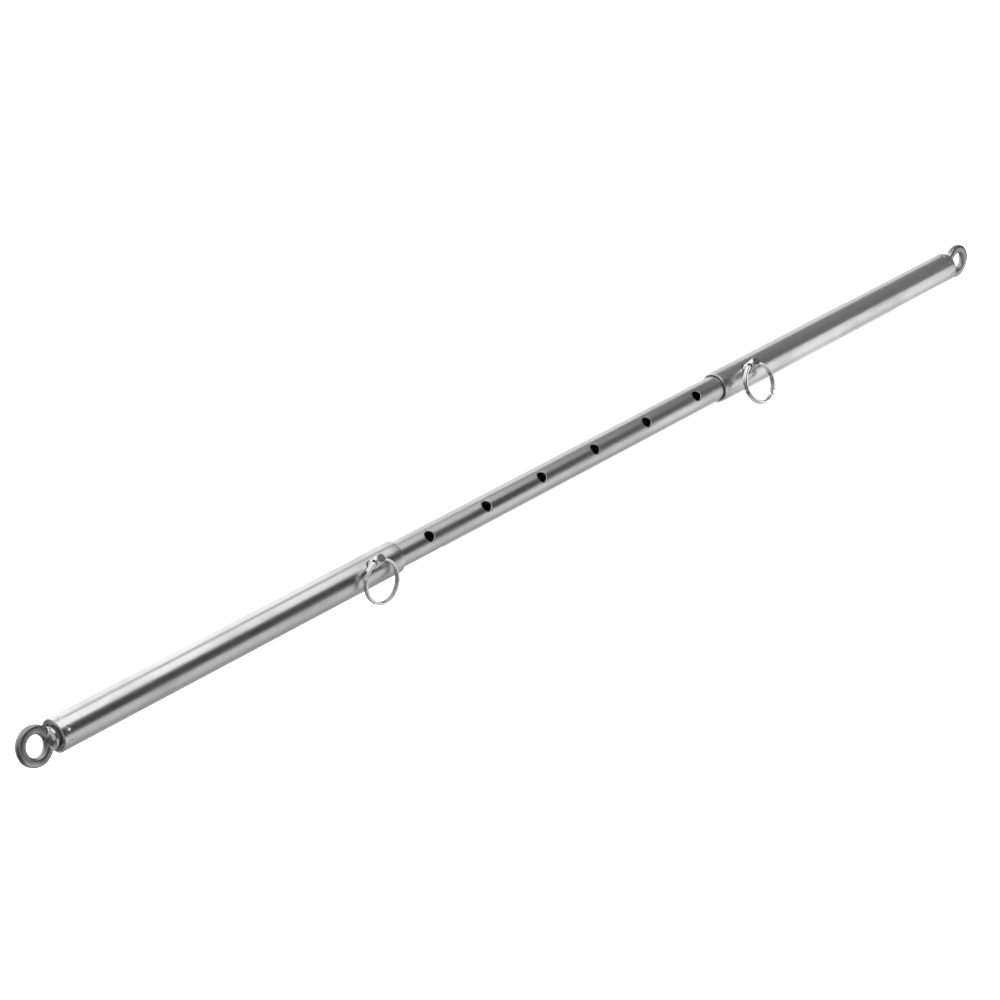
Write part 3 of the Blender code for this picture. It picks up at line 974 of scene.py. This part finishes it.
# a panel's sheet is (x, first angle, last angle), its tones (x, tone), and its fall (angle, share)
# angles run round the bar, from 0 in front to 90 above and 180 behind
studio = {
    "floorDrop": 420.0, "floorRadius": 5200.0, "floorTone": 0.93, "floorGlow": 1.05,
    "floorFlat": 0.8, "floorRise": 0.5, "floorTop": 2.2, "floorAround": 96, "floorSteps": 8,
    "floorRings": (0.25, 0.5), "floorSpeckles": (6, 3.0, 0.5), "floorSpeckleTone": 0.9,
    "floorSpeckleShare": 0.04, "floorRough": 0.9,
    "world": 0.08, "strength": 2.5, "panelSteps": 24,
    "panels": {
        "overhead": {
            "radius": 1200,
            "sheet": [(-900, 60, 113), (650, 60, 113), (900, 67, 113), (1440, 67, 113), (1480, 67, 124),
                      (2200, 67, 124)],
            "tones": [(-900, 1.3), (650, 1.35), (780, 0.85), (840, 0.52), (950, 0.26), (1060, 0.1),
                      (1170, 0.0), (1280, 0.0), (1430, 0.0), (1510, 0.44), (1580, 0.46), (1700, 0.25),
                      (1810, 0.2), (2200, 0.23)],
            "fall": [(60, 1.0), (113, 1.0)],
        },
        "rear": {
            "radius": 1400,
            "sheet": [(-2600, 126, 172), (-1150, 126, 172), (-1100, 126, 226), (700, 126, 226),
                      (1480, 134, 226), (3200, 134, 226)],
            "tones": [(-2600, 0.5), (-1300, 0.7), (-1000, 1.3), (200, 1.35), (600, 1.35), (840, 1.1),
                      (1060, 0.9), (1170, 0.86), (1280, 0.9), (1480, 1.08), (1700, 0.92), (1900, 0.9),
                      (3200, 0.9)],
            "fall": [(126, 0.95), (146, 1.0), (160, 0.95), (175, 0.87), (226, 0.87)],
        },
        "backLow": {
            "radius": 1450,
            "sheet": [(-2600, 174, 242), (-1110, 174, 242)],
            "tones": [(-2600, 0.2), (-1110, 0.2)],
            "fall": [(174, 1.0), (242, 1.0)],
        },
        "side": {
            "radius": 1250,
            "sheet": [(-3000, -10, 122), (-1000, -10, 122)],
            "tones": [(-3000, 0.5), (-1000, 0.55)],
            "fall": [(-10, 1.0), (122, 1.0)],
        },
        "flag": {
            "radius": 1340,
            "sheet": [(-1000, -6, 67), (3400, -6, 67)],
            "tones": [(-1000, 0.03), (1000, 0.03), (1200, 0.0), (1400, 0.0), (1500, 0.26), (1650, 0.26),
                      (1750, 0.22), (3400, 0.2)],
            "fall": [(-6, 1.0), (67, 1.0)],
        },
        "below": {
            "radius": 1300,
            "sheet": [(-1200, -112, -2), (200, -112, 0), (600, -112, 2), (1000, -112, 5), (1300, -112, 6),
                      (1480, -112, 16), (1600, -112, 20), (2080, -112, 20)],
            "tones": [(-1200, 0.8), (200, 0.9), (700, 0.9), (840, 1.0), (1060, 1.02), (1280, 0.92),
                      (1400, 1.05), (1500, 1.4), (1600, 1.75), (1720, 2.15), (1950, 2.45), (2000, 2.4),
                      (2080, 0.3)],
            "fall": [(-112, 1.0), (-101, 0.8), (-88, 0.3), (-62, 0.52), (-30, 0.78), (20, 0.78)],
        },
    },
}


def shares(stops, unit=1.0):
    # stops moved to 0..1 between the first and the last
    low, high = stops[0][0], stops[-1][0]
    return [((place - low) / (high - low), tone / unit) for place, tone in stops]


def panelFor(name, spec):
    # a curved sheet of light; tones run along the bar, fall runs round it
    sheet, steps, radius = spec["sheet"], studio["panelSteps"], spec["radius"]
    points, faces = [], []
    for x, first, last in sheet:
        for k in range(steps + 1):
            angle = math.radians(first + (last - first) * k / steps)
            points.append((x, -math.cos(angle) * radius, math.sin(angle) * radius))
    for column in range(len(sheet) - 1):
        for k in range(steps):
            here = column * (steps + 1) + k
            faces.append((here, here + 1, here + steps + 2, here + steps + 1))
    panel = newObject(name + "Panel", points, faces)
    finish = Finish(name + "Cloth")
    low, high = sheet[0][0] * mm, sheet[-1][0] * mm
    along = finish.ramp((finish.x - low) / (high - low), shares(spec["tones"], studio["strength"]))
    bottom, top = spec["fall"][0][0], spec["fall"][-1][0]
    turned = finish.node("Math", {"operation": "ARCTAN2"}, {0: finish.z, 1: 0.0 - finish.y})
    around = finish.ramp((turned / math.radians(1) - bottom) / (top - bottom), shares(spec["fall"]))
    glow = finish.blend(around, grey(0), along)
    fixed = {"Emission Strength": studio["strength"], "Specular IOR Level": 0.0, "Emission Color": glow}
    panel.data.materials.append(finish.close(grey(0), 1.0, 0.0, None, fixed))
    panel.visible_camera = False
    panel.visible_shadow = False


def floorFor():
    # a flat floor that curves up into a wall all round
    low = cadBox[0][2] / mm - studio["floorDrop"]
    radius, flat, rise = studio["floorRadius"], studio["floorFlat"], studio["floorRise"]
    steps = studio["floorSteps"]
    skin = Skin(plainZ)
    profile = [(low, radius * share) for share in (*studio["floorRings"], flat)]
    for k in range(1, steps + 1):
        bend = k * pi / (2 * steps)
        profile.append((low + radius * rise * (1 - math.cos(bend)), radius * (flat + rise * math.sin(bend))))
    profile.append((low + radius * studio["floorTop"], radius * (flat + rise)))
    first, _ = skin.turn(profile, studio["floorAround"])
    skin.cap(first, low)
    floor = newObject("floor", skin.points, skin.faces)
    floor.data.shade_smooth()
    finish = Finish("floorPaint")
    speckles = finish.noise(*studio["floorSpeckles"]) * studio["floorSpeckleShare"]
    tone = finish.blend(speckles, grey(studio["floorTone"]), grey(studio["floorSpeckleTone"]))
    fixed = {"Specular IOR Level": 0.0, "Emission Color": grey(1.0), "Emission Strength": studio["floorGlow"]}
    floor.data.materials.append(finish.close(tone, studio["floorRough"], 0.0, None, fixed))
    floor.visible_glossy = False


for name, spec in studio["panels"].items():
    panelFor(name, spec)
floorFor()

world = bpy.data.worlds.new("studioAir")
bpy.context.scene.world = world
world.use_nodes = True
world.node_tree.nodes["Background"].inputs["Color"].default_value = grey(1.0)
world.node_tree.nodes["Background"].inputs["Strength"].default_value = studio["world"]
bpy.context.scene.view_settings.view_transform = "Standard"
print("studio made")

camera = {
    "azimuth": -47.475, "elevation": 28.853, "distance": 2329.8, "aimX": -73.5, "aimZ": 1.75,
    "lens": 108.28, "sensor": 36, "shift": (0.0006, -0.0007), "clipEnd": 60,  # clipEnd is in metres
}
turn, tilt = math.radians(camera["azimuth"]), math.radians(camera["elevation"])
back = Vector((math.sin(turn) * math.cos(tilt), -math.cos(turn) * math.cos(tilt), math.sin(tilt)))
middle = sum((Vector(corner) for corner in cadBox), Vector()) / 2
aim = Vector((middle.x + camera["aimX"] * mm, 0, camera["aimZ"] * mm))
lens = bpy.data.cameras.new("camera")
lens.lens = camera["lens"]
lens.sensor_width = camera["sensor"]
lens.shift_x, lens.shift_y = camera["shift"]
lens.clip_end = camera["clipEnd"]
viewer = bpy.data.objects.new("camera", lens)
viewer.location = aim + back * camera["distance"] * mm
viewer.rotation_euler = (-back).to_track_quat("-Z", "Y").to_euler()
bpy.context.scene.collection.objects.link(viewer)
bpy.context.scene.camera = viewer
print("camera placed")
